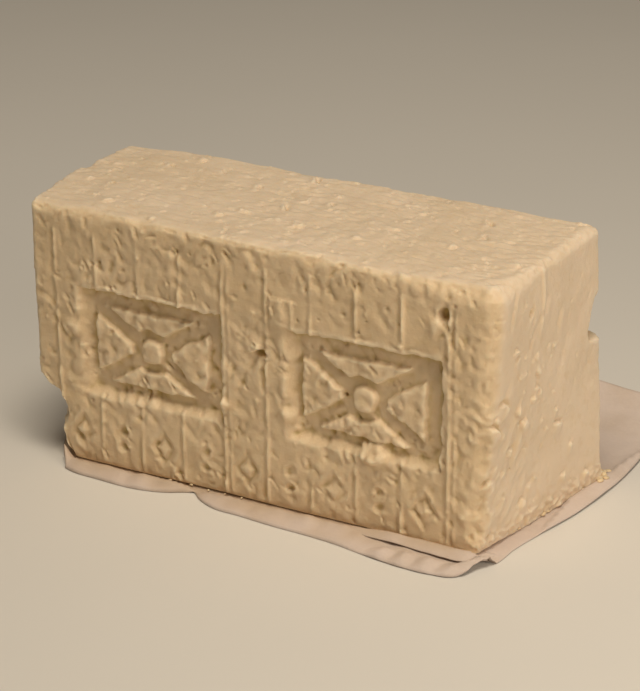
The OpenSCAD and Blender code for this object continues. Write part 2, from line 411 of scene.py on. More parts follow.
def handled(height, x, z, chance):
    """Marks a mould-pressed face with dimples, scars, pits and soft lumps. They lie in patches, and most
    of the scars slant the same way."""
    flat = np.stack([x, np.zeros_like(x), z], axis=1)
    dimples = soft_noise(flat + 0.8 * soft_noise(flat, 5.0, 50)[:, None], (4.0, 1.0, 5.0), 51)
    height += 0.85 * np.clip(0.55 + 1.2 * soft_noise(flat, 25.0, 52), 0.15, 1.2) * pitted(dimples)
    height += 0.30 * soft_noise(leaned(x, z), (12.0, 30.0, 5.0), 53)
    spots = chance.uniform((-108.0, 0.0, 2.0), (108.0, 0.0, 112.0), (560, 3))
    kept = soft_noise(spots, (24.0, 1.0, 18.0), 49) > chance.uniform(-0.5, 0.6, len(spots))
    for at_x, _, at_z in spots[kept]:
        chance_scar(height, x, z, (at_x, at_z), chance, (-55, 22), (0.9, 3.6), (0.4, 0.9), (0.2, 0.85))
    for _ in range(110):
        at = somewhere(chance, (-108, 108), (2, 112))
        size = chance.uniform(0.5, 1.3)
        lump(height, x, z, at, (size, size * chance.uniform(0.7, 1.5)), chance.choice((-0.8, 0.5)))
    for _ in range(44):
        at = somewhere(chance, (-106, 106), (4, 110))
        scar(height, x, z, at, chance.normal(-52, 14), chance.uniform(4, 10), chance.uniform(1.0, 2.0), 0.6)
    for _ in range(60):
        at = somewhere(chance, (-106, 106), (3, 109))
        size = (chance.uniform(1.8, 5.5), chance.uniform(1.8, 5.0))
        lump(height, x, z, at, size, chance.uniform(-0.8, 0.6))
    height -= 0.12 * creases(flat, (13.0, 1.0, 17.0), 48)


handled(height, x, z, np.random.default_rng(7))

# What stands out by itself: holes, torn curds and a patch that the mould pressed smooth.
lump(height, x, z, (4.5, 68.5), (3.0, 1.4), -3.4, 4.0)
flake(height, x, z, (1.0, 72.0), -70, 3.5, 6.0, 1.3)
lump(height, x, z, (86.0, 101.0), (2.2, 2.8), -3.8, 4.0)
scar(height, x, z, (88.5, 95.5), -58, 6.5, 1.1, 1.3)
front_lumps = (
    (82.0, 95.0, 2.0, 5.0, 0.8),
    (42.0, 57.0, 0.9, 0.9, -2.2, 4.0),
    (-87.5, 63.0, 4.2, 3.4, 2.3),
    (-85.0, 76.0, 3.0, 6.0, 0.9),
    (17.5, 44.0, 3.4, 3.0, 2.2),
    (16.0, 56.0, 2.2, 5.5, 1.0),
    (-12.5, 43.0, 2.3, 2.2, 1.9),
    (68.0, 84.5, 1.5, 1.3, 1.2),
)
for at_x, at_z, wide, tall, *rise in front_lumps:
    lump(height, x, z, (at_x, at_z), (wide, tall), *rise)
curd_at = (55.7, 35.5)
lump(height, x, z, curd_at, (5.8, 4.6), 3.6, 5.0)
chance = np.random.default_rng(9)
for _ in range(14):
    at = (curd_at[0] + chance.uniform(-4.5, 4.5), curd_at[1] + chance.uniform(-3.5, 3.5))
    lump(height, x, z, at, (1.6, 1.3), chance.uniform(-0.7, 0.8))
patch = smooth((x - 8.5) / 1.5) * smooth((20.5 - x) / 0.8)
patch = patch * smooth((z - 79.0) / 5.0) * smooth((95.0 - z) / 0.9)
height += patch * (1.0 + 0.25 * soft_noise(flat, (1.0, 1.0, 1.6), 38))

# The bruised stretch down the right side, where the cheese tore as it left the mould.
bruise = smooth((ragged_x - 90.0) / 12.0) * smooth((ragged_z - 4.0) / 14.0) * smooth((80.0 - ragged_z) / 16.0)
height += 1.15 * bruise * soft_noise(leaned(x, z), (4.0, 30.0, 9.0), 39)
relief[front] += front_share * height

# The top: a knife dragged the moist cheese along it, and tore flakes and crevices.
chance = np.random.default_rng(8)
top, top_share = on_face(2, 1)
x = block[top, 0]
y = block[top, 1]
flat = np.stack([x, y, np.zeros_like(x)], axis=1)
height = np.zeros(len(top))
bow = y + 0.0016 * (x + 20.0) ** 2 * np.sin(x / 42.0)
dragged = np.stack([x, bow, np.zeros_like(x)], axis=1)
height += 0.22 * soft_noise(dragged, (20.0, 6.0, 9.0), 101)
smeared = np.clip(0.45 + 0.35 * smooth((x + 60.0) / 90.0) + 1.0 * soft_noise(flat, 24.0, 107), 0.1, 1.2)
height += 0.16 * soft_noise(dragged, (9.0, 2.6, 9.0), 102)
height += 0.13 * smeared * soft_noise(dragged, (3.4, 1.5, 9.0), 103)
ruffled = soft_noise(dragged + 0.5 * soft_noise(dragged, 4.0, 108)[:, None], (6.0, 3.0, 9.0), 109)
height += 0.42 * smeared * pitted(ruffled)
height -= 0.16 * creases(dragged, (16.0, 7.0, 9.0), 104) + 0.07 * creases(dragged, (7.0, 3.4, 9.0), 105)
spots = chance.uniform((-110.0, -42.0, 0.0), (112.0, 42.0, 0.0), (640, 3))
kept = soft_noise(spots, (26.0, 16.0, 1.0), 106) > chance.uniform(-0.5, 0.6, len(spots))
for at_x, at_y, _ in spots[kept]:
    chance_flake(height, x, y, (at_x, at_y), chance, (-40, 34), (0.9, 3.4), (0.5, 1.1), (0.15, 0.5))
for _ in range(150):
    at = somewhere(chance, (-110, 112), (-43, 43))
    chance_scar(height, x, y, at, chance, (-50, 35), (0.8, 3.0), (0.3, 0.6), (0.15, 0.5))
top_flakes = (
    (5.0, -14.0, -35, 3.8, 3.4, 1.3),
    (-29.0, -19.0, -40, 3.0, 2.4, 1.0),
    (-79.0, -29.0, -20, 4.2, 3.4, 1.2),
    (-101.0, -8.0, -30, 2.6, 2.0, 0.9),
    (34.0, -16.0, -60, 3.0, 2.2, 1.0),
    (41.5, -1.0, -15, 3.2, 1.9, 0.9),
    (43.0, 22.0, -30, 3.6, 2.6, 0.9),
    (-69.0, 35.0, -50, 3.0, 2.4, 1.0),
    (5.8, -22.7, -30, 1.8, 1.3, 0.9),
    (-50.0, -36.0, -60, 3.2, 1.8, 0.9),
    (-22.0, -11.0, -45, 3.0, 3.2, 0.9),
    (-7.0, 12.0, -20, 3.6, 4.5, 0.8),
    (70.0, -6.0, -35, 3.4, 2.6, 1.0),
    (101.0, -14.0, -10, 3.2, 2.4, 0.9),
)
for *at, slant, length, width, rise in top_flakes:
    flake(height, x, y, at, slant, 1.3 * length, 1.15 * width, 0.9 * rise)
top_crevices = (
    (-11.5, 36.0, -62, 4.6, 0.9, 1.6),
    (-29.0, 16.5, -65, 2.4, 0.9, 1.4),
    (8.3, 12.3, -60, 2.6, 0.9, 1.3),
    (-6.5, 0.0, -62, 3.6, 0.8, 1.4),
    (-86.5, -9.3, -60, 2.0, 0.9, 1.2),
    (-76.0, 22.0, -60, 1.9, 0.9, 1.2),
    (76.0, 22.0, -45, 3.0, 1.0, 1.2),
    (80.0, 8.0, -65, 3.6, 0.7, 0.9),
    (-15.0, -36.0, -75, 4.0, 0.5, 1.1),
    (-52.0, 26.0, -55, 3.0, 0.8, 0.8),
)
for *at, slant, length, width, depth in top_crevices:
    scar(height, x, y, at, slant, length, width, depth)
relief[top] += top_share * height

# The right end: cut downwards, so its drag marks are upright, with torn flaps towards the front.
right, right_share = on_face(0, 1)
y = block[right, 1] + HALF[1]
z = block[right, 2] - FOOT
flat = np.stack([np.zeros_like(y), y, z], axis=1)
height = np.zeros(len(right))
lean = flat + np.stack([np.zeros_like(y), 0.12 * z, np.zeros_like(y)], axis=1)
calm = 1.0 - 0.7 * smooth((y - 46.0) / 18.0)
patchy = np.clip(0.5 + 1.3 * soft_noise(flat, 26.0, 118), 0.15, 1.0)
height += calm * 0.32 * soft_noise(lean, (9.0, 10.0, 34.0), 111)
height += calm * patchy * 0.15 * soft_noise(lean, (9.0, 3.4, 22.0), 112)
height += calm * 0.03 * soft_noise(lean, (9.0, 1.4, 6.0), 113)
height -= calm * patchy * 0.3 * creases(lean, (9.0, 9.0, 34.0), 116)
for _ in range(7):
    at = somewhere(chance, (8, 62), (20, 104))
    chance_scar(height, y, z, at, chance, (72, 9), (6, 15), (0.9, 1.8), (0.3, 0.6))
for _ in range(90):
    at = somewhere(chance, (2, 86), (3, 111))
    chance_scar(height, y, z, at, chance, (80, 30), (0.8, 3.0), (0.3, 0.6), (0.12, 0.4))
for _ in range(62):
    at = somewhere(chance, (2, 52), (3, 84))
    chance_flake(height, y, z, at, chance, (120, 30), (1.0, 3.8), (0.5, 1.0), (0.3, 1.0))
right_flakes = (
    (3.0, 50.0, 60, 6.0, 6.5, 2.0),
    (10.0, 61.0, 75, 3.0, 5.0, 1.6),
    (29.0, 47.0, 140, 5.5, 3.4, 1.6),
    (52.0, 37.5, 80, 3.4, 4.6, 1.5),
    (17.0, 82.5, 90, 2.2, 3.0, 1.1),
    (6.0, 26.0, 110, 6.0, 4.0, 1.5),
    (18.0, 38.0, 120, 4.0, 3.0, 1.2),
    (30.0, 10.0, 100, 4.0, 3.0, 1.2),
    (62.0, 24.0, 90, 3.2, 1.3, 1.0),
    (36.0, 71.0, 250, 3.0, 2.6, 1.3),
    (23.0, 58.0, 230, 3.6, 2.4, 1.3),
    (58.0, 12.0, 100, 3.0, 2.2, 1.2),
    (74.0, 7.0, 80, 2.6, 2.4, 1.3),
)
for *at, slant, length, width, rise in right_flakes:
    flake(height, y, z, at, slant, length, width, 1.2 * rise)
bent = y + 1.6 * soft_noise(flat, 9.0, 119)
step = smooth((bent - 34.5) / 1.4) * smooth((41.0 - bent) / 6.0) * smooth((z - 84.0) / 8.0)
height += 0.9 * step  # where the knife stopped and was set again
scar(height, y, z, (54.0, 68.0), 66, 13.0, 2.2, 0.3)
scar(height, y, z, (6.0, 63.5), 4, 8.0, 2.2, 0.9)
lump(height, y, z, (27.0, 97.0), (1.4, 1.6), -1.6, 4.0)
torn = smooth((46.0 - y) / 20.0) * smooth((z - 2.0) / 8.0) * smooth((72.0 - z) / 16.0)
slanted = np.stack([z, 0.6 * y + 0.8 * z, 0.8 * y - 0.6 * z], axis=1)
height += 0.7 * torn * soft_noise(slanted, (30.0, 10.0, 3.6), 114)
crumbly = smooth((13.0 - z) / 9.0)
crumbling = 0.9 * soft_noise(flat, (2.0, 3.0, 1.8), 115) + 0.5 * soft_noise(flat, (2.0, 6.0, 4.0), 120)
height += crumbly * crumbling
relief[right] += right_share * height

# The back came off a plain wall of the mould, and the left end is a cut like the right one.
back, back_share = on_face(1, 1)
x = block[back, 0]
z = block[back, 2] - FOOT
flat = np.stack([x, np.zeros_like(x), z], axis=1)
height = np.zeros(len(back))
for rib in range(RIB_COUNT):
    off = x - (FIRST_RIB + rib * RIB_PITCH) - 0.35 * soft_noise(flat, 24.0, 140 + rib)
    strength = np.clip(0.8 + 0.7 * soft_noise(flat, (40.0, 1.0, 17.0), 160 + rib), 0.1, 1.15)
    strength *= smooth((z - RIB_FOOT) / 3.0) * smooth((RIB_TOP - z) / 4.0)
    height += RIB_RISE * strength * ridge(off)
handled(height, -x, z, np.random.default_rng(19))
relief[back] += back_share * height

left, left_share = on_face(0, -1)
y = block[left, 1]
z = block[left, 2] - FOOT
flat = np.stack([np.zeros_like(y), y, z], axis=1)
height = 0.38 * soft_noise(flat, (9.0, 7.5, 30.0), 121) + 0.2 * soft_noise(flat, (9.0, 2.8, 20.0), 122)
height -= 0.35 * creases(flat, (9.0, 9.0, 30.0), 123)
for _ in range(34):
    at = somewhere(chance, (-40, 40), (4, 108))
    chance_flake(height, y, z, at, chance, (100, 30), (1.0, 3.8), (0.5, 1.0), (0.3, 1.0))
for _ in range(8):
    at = somewhere(chance, (-38, 38), (20, 100))
    chance_scar(height, y, z, at, chance, (84, 9), (6, 15), (0.9, 1.8), (0.3, 0.6))
for _ in range(220):
    at = somewhere(chance, (-42, 42), (3, 111))
    chance_scar(height, y, z, at, chance, (80, 30), (0.8, 3.4), (0.3, 0.7), (0.15, 0.5))
relief[left] += left_share * height

# The edges are nibbled, most of all round the left end.
leftness = smooth((-70.0 - block[:, 0]) / 30.0)
nibble = 1.4 * np.clip(soft_noise(block, 5.0, 131) - 0.1, 0.0, 1.0)
nibble += 0.7 * np.clip(soft_noise(block, 2.2, 132), 0.0, 1.0)
relief -= edge_share * nibble * (0.5 + 0.5 * leftness)
relief += 0.2 * edge_share * soft_noise(block, 1.9, 133)

# The knife dragged over the right end's front edge, and left small ridges across it.
drawn = smooth((facing[:, 0] - facing[:, 1] - 1.1) / 0.25) * (1.0 - np.abs(facing[:, 2]))
ridged = 0.26 * soft_noise(block, (9.0, 9.0, 2.4), 134) - 0.4 * creases(block, (9.0, 9.0, 6.0), 135)
relief += drawn * ridged

# The underside is pressed flat by the block's own weight.
underside = smooth((-facing[:, 2] - 0.4) / 0.3)
relief *= 1.0 - underside
block += facing * relief[:, None]

# The foot that broke off the left front corner, and the notch that broke out of the right back edge.
# Each is a cut face whose distance from the block's middle changes with the height.
BREAK_WAY = np.array([-0.868, -0.496])
BREAK_REACH = 103.4
BREAK_TOP = 42.0
NOTCH_WAY = np.array([0.877, 0.48])
NOTCH_FOOT = 58.0
NOTCH_TOP = 97.0
z = block[:, 2] - FOOT
crack_noise = 0.9 * soft_noise(block, 6.0, 151) + 0.35 * soft_noise(block, 2.4, 152)


def cut_back(way, limit, roughness, low, high):
    """Brings what reaches past a limit back to it, between two heights above the foot."""
    reach = block[:, :2] @ way
    over = np.maximum(reach - limit - roughness, 0.0) * (z > low) * (z < high)
    block[:, :2] -= over[:, None] * way


break_limit = BREAK_REACH + np.interp(z, [0, 3, 9, 15, 20, 27, 32, 34, 37, 40],
                                      [-4.5, -3.5, 0.0, 0.4, -2.2, -1.2, 2.0, 5.5, 8.0, 16.0])
cut_back(BREAK_WAY, break_limit, crack_noise, -math.inf, BREAK_TOP)
notch_limit = np.interp(z, [60, 65.4, 67.6, 72, 80, 85, 86, 90, 96],
                        [128.0, 124.0, 117.2, 117.0, 118.6, 119.6, 121.4, 122.5, 128.0])
cut_back(NOTCH_WAY, notch_limit, 0.45 * crack_noise, NOTCH_FOOT, NOTCH_TOP)
block[:, 2] = np.maximum(block[:, 2], FOOT)
move_points(block_mesh, block)

# How far each point lies in a hollow, in millimetres, for the tint of the cheese's crevices, which is painted
# shade with the yellow of whey in it, and for the painted highlight on what stands out; and how far each
# point belongs to a cut face instead of one that the mould pressed, for the painted warm shade of the pressed
# faces.
LEVELLING_ROUNDS = 14
BLENDING_ROUNDS = 6
edges = np.empty(len(block_mesh.edges) * 2, np.int64)
block_mesh.edges.foreach_get("vertices", edges)
edges = edges.reshape(-1, 2)
neighbours = np.bincount(edges.ravel(), minlength=len(block)).astype(float)


def averaged(values):
    """Each point's value, averaged over its neighbours."""
    total = np.bincount(edges[:, 0], values[edges[:, 1]], len(values))
    total += np.bincount(edges[:, 1], values[edges[:, 0]], len(values))
    return total / neighbours


levelled = block.copy()
for _ in range(LEVELLING_ROUNDS):
    levelled = np.stack([averaged(levelled[:, axis]) for axis in range(3)], axis=1)
facing = normals_of(block_mesh)
hollow = ((levelled - block) * facing).sum(axis=1)
hollow = averaged(averaged(hollow))
cut = 1.0 - smooth((np.abs(facing[:, 1]) - 0.25) / 0.4)
for _ in range(BLENDING_ROUNDS):
    cut = averaged(cut)
hollow = np.where(hollow > 0.0, hollow * (1.2 - 0.75 * cut), hollow)
write_values(block_mesh, "cut", cut)
write_values(block_mesh, "hollow", hollow)

move_points(block_mesh, block / METRE)
draft = add_to_scene("cheese_draft", block_mesh)
thin = draft.modifiers.new("thin", "DECIMATE")
thin.ratio = KEPT_FACES / (2.0 * len(block_mesh.polygons))
evaluated = draft.evaluated_get(bpy.context.evaluated_depsgraph_get())
thinned_mesh = bpy.data.meshes.new_from_object(evaluated)
thinned_mesh.name = "feta_block"
bpy.data.objects.remove(draft)
thinned_mesh.shade_smooth()
cheese = add_to_scene("feta_block", thinned_mesh)


def new_material(name):
    """A material with an empty node tree, its Principled shader and its output joined."""
    material = bpy.data.materials.new(name)
    material.use_nodes = True
    nodes = material.node_tree.nodes
    nodes.clear()
    shader = nodes.new("ShaderNodeBsdfPrincipled")
    output = nodes.new("ShaderNodeOutputMaterial")
    material.node_tree.links.new(shader.outputs["BSDF"], output.inputs["Surface"])
    return material, nodes, material.node_tree.links, shader


def noise_node(nodes, links, coordinates, scale, detail, roughness=0.5):
    noise = nodes.new("ShaderNodeTexNoise")
    noise.inputs["Scale"].default_value = scale
    noise.inputs["Detail"].default_value = detail
    noise.inputs["Roughness"].default_value = roughness
    links.new(coordinates, noise.inputs["Vector"])
    return noise.outputs["Fac"]


def ramp_node(nodes, links, factor, low, high):
    """Stretches a factor from the range low to high out to the range 0 to 1."""
    stretch = nodes.new("ShaderNodeMapRange")
    stretch.inputs["From Min"].default_value = low
    stretch.inputs["From Max"].default_value = high
    links.new(factor, stretch.inputs["Value"])
    return stretch.outputs["Result"]


def value_node(nodes, name):
    """Reads what write_values wrote under a name."""
    value = nodes.new("ShaderNodeAttribute")
    value.attribute_name = name
    return value.outputs["Fac"]


def mix_node(nodes, links, factor, first, second, blend="MIX"):
    """Mixes two colours. Each is a colour or a socket."""
    mix = nodes.new("ShaderNodeMix")
    mix.data_type = "RGBA"
    mix.blend_type = blend
    links.new(factor, mix.inputs["Factor"])
    for socket, colour in ((mix.inputs["A"], first), (mix.inputs["B"], second)):
        if isinstance(colour, tuple):
            socket.default_value = (*colour, 1.0)
        else:
            links.new(colour, socket)
    return mix.outputs["Result"]


def bump_node(nodes, links, height, distance, strength, base=None):
    bump = nodes.new("ShaderNodeBump")
    bump.inputs["Distance"].default_value = distance
    bump.inputs["Strength"].default_value = strength
    links.new(height, bump.inputs["Height"])
    if base is not None:
        links.new(base, bump.inputs["Normal"])
    return bump.outputs["Normal"]


CURD_CREAM = (0.745, 0.605, 0.447)
CURD_PALE = (0.808, 0.666, 0.512)  # in clouds
CURD_HONEY = (0.680, 0.510, 0.310)  # in specks
# Painted highlight: the whiter colour laid on what stands out, the raised flakes, lips and edges.
CURD_HIGHLIGHT_WHITE = (0.830, 0.712, 0.570)  # on what stands proud
# Darker and yellower in the hollows: painted shade and the glow of light inside the crevices, with some whey.
WHEY_AND_SHADE_YELLOW = (0.610, 0.455, 0.190)  # deep in the hollows
# Painted shade: a darker, warmer colour for the faces that the mould pressed, standing in for the warm shade
# on the stamped face.
PRESSED_FACE_SHADE_TINT = (1.0, 0.952, 0.825)  # multiplies the colour of the faces that the mould pressed

curd, nodes, links, shader = new_material("moist_curd")
place = nodes.new("ShaderNodeTexCoord").outputs["Object"]
clouds = ramp_node(nodes, links, noise_node(nodes, links, place, 28.0, 3.0), 0.35, 0.68)
specks = ramp_node(nodes, links, noise_node(nodes, links, place, 210.0, 3.0, 0.6), 0.42, 0.7)
hollowness = value_node(nodes, "hollow")
deep = ramp_node(nodes, links, hollowness, 0.16, 0.95)
proud = ramp_node(nodes, links, hollowness, -0.05, -0.45)
mould_pressed = ramp_node(nodes, links, value_node(nodes, "cut"), 1.0, 0.0)
colour = mix_node(nodes, links, clouds, CURD_CREAM, CURD_PALE)
colour = mix_node(nodes, links, ramp_node(nodes, links, specks, 0.4, 2.6), colour, CURD_HONEY)
# The painted highlight on what stands out.
colour = mix_node(nodes, links, proud, colour, CURD_HIGHLIGHT_WHITE)
# The painted warm shade of the mould-pressed faces.
colour = mix_node(nodes, links, mould_pressed, colour, PRESSED_FACE_SHADE_TINT, "MULTIPLY")
# The painted shade, yellowed like whey, in the hollows.
colour = mix_node(nodes, links, deep, colour, WHEY_AND_SHADE_YELLOW)
links.new(colour, shader.inputs["Base Color"])
gloss = nodes.new("ShaderNodeMapRange")
gloss.inputs["To Min"].default_value = 0.44
gloss.inputs["To Max"].default_value = 0.64
links.new(noise_node(nodes, links, place, 90.0, 2.0), gloss.inputs["Value"])
links.new(gloss.outputs["Result"], shader.inputs["Roughness"])
shader.inputs["IOR"].default_value = 1.40
shader.inputs["Specular IOR Level"].default_value = 0.38
shader.inputs["Subsurface Weight"].default_value = 0.35
shader.inputs["Subsurface Radius"].default_value = (1.0, 0.76, 0.56)
shader.inputs["Subsurface Scale"].default_value = 0.0024
grain = bump_node(nodes, links, noise_node(nodes, links, place, 900.0, 4.0, 0.6), 0.0003, 0.4)
grain = bump_node(nodes, links, noise_node(nodes, links, place, 420.0, 2.0, 0.5), 0.0006, 0.35, grain)
links.new(grain, shader.inputs["Normal"])
thinned_mesh.materials.clear()
thinned_mesh.materials.append(curd)

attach(cheese, "root")
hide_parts("cheese_block")


# The paper: a sheet of thin, damp butcher's paper that the block was wrapped in. It is opened out under
# the block, so it lies flat there and lifts and creases towards its edges.
SHEET_THICKNESS = 0.22
SHEET_CELL = 1.3
SHEET_REST = 0.12  # how high the loose sheet's underside lies
SHEET_UNDER_BLOCK = 0.34  # and how high it lies under the block
FREE_FROM = -46.0  # the front edge of the part under the block
paper_low, paper_high = (np.array(corner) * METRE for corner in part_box("wrapping_paper"))


def curve_through(places, values, at):
    """A smooth curve through a few places."""
    places = np.asarray(places, float)
    values = np.asarray(values, float)
    slopes = np.gradient(values, places)
    index = np.clip(np.searchsorted(places, at) - 1, 0, len(places) - 2)
    width = places[index + 1] - places[index]
    t = np.clip((at - places[index]) / width, 0.0, 1.0)
    return ((2 * t**3 - 3 * t**2 + 1) * values[index] + (t**3 - 2 * t**2 + t) * width * slopes[index]
            + (3 * t**2 - 2 * t**3) * values[index + 1] + (t**3 - t**2) * width * slopes[index + 1])


def grid_mesh(name, cells, size=1.0):
    """A flat grid that reaches the given size to each side of the middle."""
    grid = bmesh.new()
    bmesh.ops.create_grid(grid, x_segments=cells[0], y_segments=cells[1], size=size)
    return mesh_from(grid, name)


sheet_cells = [round((paper_high[axis] - paper_low[axis]) / SHEET_CELL) for axis in range(2)]
sheet_mesh = grid_mesh("wrapping_sheet", sheet_cells)
across, along = (points_of(sheet_mesh)[:, :2] * 0.5 + 0.5).T

left_edge = curve_through([0.0, 0.12, 0.3, 0.6, 1.0], [-89.0, -104.0, -110.5, -111.0, -104.0], along)
right_edge = curve_through([0.0, 0.05, 0.15, 0.4, 0.6, 0.8, 1.0],
                           [104.0, 110.0, 113.0, 124.0, 128.5, 128.0, 124.0], along)
x = left_edge + (right_edge - left_edge) * across
front_edge = curve_through(
    [-90, -86, -70, -52, -38, -30, -27, -23, -15, 1, 16, 34, 46, 63, 78, 92, 100, 107],
    [-52.5, -54.0, -55.5, -55.8, -52.5, -48.4, -47.4, -50.8, -55.0, -56.6, -57.9, -58.6, -59.6, -62.7, -64.6,
     -64.4, -62.6, -56.0], x)
back_edge = 122.0 - 4.0 * across + 1.5 * np.sin(11.0 * across)
y = front_edge + (back_edge - front_edge) * along
flat = np.stack([x, y, np.zeros_like(x)], axis=1)

under_block = np.minimum.reduce([
    smooth((x + 118.0) / 10.0),
    smooth((126.0 - x) / 10.0),
    smooth((y + 46.5) / 2.5),
    smooth((56.0 - y) / 10.0),
])
free = 1.0 - under_block
ripples = soft_noise(flat, 24.0, 201)
fine_ripples = soft_noise(flat, 9.0, 202)
outer_share = np.clip((FREE_FROM - y) / np.maximum(FREE_FROM - front_edge, 2.0), 0.0, 1.0)
rippled = np.maximum(0.35 + 0.5 * ripples + 0.25 * fine_ripples, 0.0)
z = SHEET_REST + (SHEET_UNDER_BLOCK - SHEET_REST) * under_block + free * (1.0 - outer_share**3) * rippled

# In front of the block it was folded under, so it bulges there in a soft roll, and a gap is left between
# the roll and the foot of the block.
sideways = np.stack([x, 0 * x, 0 * x], axis=1)
foot_gap = 46.0 + 1.1 * soft_noise(sideways, 13.0, 205) + 0.6 * soft_noise(sideways, 4.0, 206)
out = np.clip((-foot_gap - y) / np.maximum(-foot_gap - front_edge, 2.0), 0.0, 1.0)
roll_height = curve_through([-92, -80, -45, -32, -27, -20, 0, 30, 50, 62, 80, 100, 108],
                            [2.0, 2.2, 2.2, 1.8, 0.4, 1.5, 1.8, 2.0, 1.8, 1.3, 1.2, 1.4, 2.6], x)
roll = smooth(out / 0.10) * (1.0 - 0.55 * smooth((out - 0.15) / 0.7)) * (1.0 - smooth((out - 0.8) / 0.2) ** 2)
uneven_roll = roll * (1.0 + 0.4 * soft_noise(sideways, 8.0, 207))
z += roll_height * (uneven_roll + 0.2 * fine_ripples * np.sin(math.pi * out))

# On the right the roll is flattened into pleats. They fan out round the corner, which stands up a little.
CORNER_AT = (98.0, -43.0)
PLEAT_RISE = 2.2
FAN_RISE = 1.5
CORNER_LIFT = 1.6
pleats = np.abs((0.085 * x + 0.5 * ripples + 0.7 * out) % 1.0 - 0.5) * 2.0
low_layer = smooth((x - 56.0) / 10.0) * smooth((110.0 - x) / 6.0)
z += low_layer * (PLEAT_RISE * pleats * smooth((out - 0.4) / 0.25) * (1.0 - out**6) + 0.3 * out)
around = np.arctan2(CORNER_AT[1] - y, x - CORNER_AT[0])
fan = np.abs((around * 3.1 + 0.3 * fine_ripples) % 1.0 - 0.5) * 2.0
corner_near = smooth((x - 100.0) / 6.0) * smooth((-36.0 - y) / 8.0)
from_corner = np.hypot(x - CORNER_AT[0], y - CORNER_AT[1])
fanned = FAN_RISE * fan * smooth((from_corner - 7.0) / 5.0)
lifted = CORNER_LIFT * (1.0 - smooth((from_corner - 8.0) / 9.0))
z += corner_near * (fanned + lifted)

# It bulges along the right end too, turns up beside the broken foot, and curls up at the back.
RIGHT_BULGE = 2.5
TURNED_UP = 8.0
CURL_FROM = 84.0
CURL_REACH = 128.0
right_foot = 104.0 + 0.19 * (y + 44.0)  # just outside the foot of the right end
beside = np.clip((x - right_foot) / np.maximum(right_edge - right_foot, 2.0), 0.0, 1.0)
beside *= smooth((y + 46.0) / 8.0)
z += RIGHT_BULGE * smooth(beside / 0.16) * (1.0 - 0.8 * beside**1.4)
turned_up = smooth((-88.0 - x + 0.35 * (y + 52.0)) / 11.0) * smooth((-4.0 - y) / 22.0)
z += TURNED_UP * turned_up**1.5
curl = np.clip(y - CURL_FROM, 0.0, None)
z += curl**2 / CURL_REACH
z = np.maximum(z, SHEET_REST)
z = np.where(under_block > 0.98, SHEET_UNDER_BLOCK, z)
move_points(sheet_mesh, np.stack([x, y, z], axis=1) / METRE)

paper_sheet = add_to_scene("paper_sheet", sheet_mesh)


def thicken(piece, thickness):
    """Gives a sheet its thickness upwards, so that its underside stays where it is."""
    solid = piece.modifiers.new("thickness", "SOLIDIFY")
    solid.thickness = thickness / METRE
    solid.offset = 1.0
    piece.data.shade_smooth()


thicken(paper_sheet, SHEET_THICKNESS)

# A second layer, where the sheet is folded back under the front of the block: a narrow strip that hugs
# the foot and lifts off the layer below, so that a dark gap shows under its free edge.
FOLD_FROM = 28.0
FOLD_LENGTH = 80.0
FOLD_REST = 0.40
FOLD_RISE = 3.7
fold_mesh = grid_mesh("wrapping_fold", (140, 16))
across, along = (points_of(fold_mesh)[:, :2] * 0.5 + 0.5).T
x = FOLD_FROM + FOLD_LENGTH * across
outer = curve_through([28, 40, 56, 75, 92, 100, 108], [-46.6, -48.6, -51.0, -52.4, -53.6, -53.2, -46.5], x)
y = outer + (-38.0 - outer) * along
flat = np.stack([x, y, np.zeros_like(x)], axis=1)
lift = (0.25 + 0.75 * smooth((x - 30.0) / 40.0)) * (1.0 - 0.35 * smooth((x - 99.0) / 9.0))
front_share = np.clip((-45.0 - y) / np.maximum(-45.0 - outer, 1.0), 0.0, 1.0)
crest = smooth((-45.0 - y) / 1.4) * (1.0 - 0.38 * front_share**1.5)
z = FOLD_REST + crest * (FOLD_RISE * lift + 0.5 * lift * soft_noise(flat, 15.0, 211))
z += 0.12 * crest * soft_noise(flat, 5.0, 212)
move_points(fold_mesh, np.stack([x, y, z], axis=1) / METRE)
paper_fold = add_to_scene("paper_fold", fold_mesh)
thicken(paper_fold, SHEET_THICKNESS)

PAPER_WHITE = (0.640, 0.540, 0.490)
PAPER_FIBRE = (0.78, 0.68, 0.60)
PAPER_DAMP = (0.560, 0.455, 0.380)
PAPER_SOAKED = (0.520, 0.405, 0.300)
damp_paper, nodes, links, shader = new_material("damp_paper")
place = nodes.new("ShaderNodeTexCoord").outputs["Object"]
damp = ramp_node(nodes, links, noise_node(nodes, links, place, 34.0, 3.0), 0.45, 0.75)
fibres = ramp_node(nodes, links, noise_node(nodes, links, place, 700.0, 3.0, 0.6), 0.35, 0.75)
colour = mix_node(nodes, links, damp, PAPER_WHITE, PAPER_DAMP)
colour = mix_node(nodes, links, ramp_node(nodes, links, fibres, 0.0, 5.0), colour, PAPER_FIBRE)
colour = mix_node(nodes, links, value_node(nodes, "soaked"), colour, PAPER_SOAKED)
links.new(colour, shader.inputs["Base Color"])
shader.inputs["Roughness"].default_value = 0.62
shader.inputs["Specular IOR Level"].default_value = 0.3
shader.inputs["Subsurface Weight"].default_value = 0.1
shader.inputs["Subsurface Radius"].default_value = (1.0, 0.8, 0.6)
shader.inputs["Subsurface Scale"].default_value = 0.001
wrinkles = bump_node(nodes, links, noise_node(nodes, links, place, 120.0, 4.0, 0.6), 0.0006, 0.35)
links.new(wrinkles, shader.inputs["Normal"])

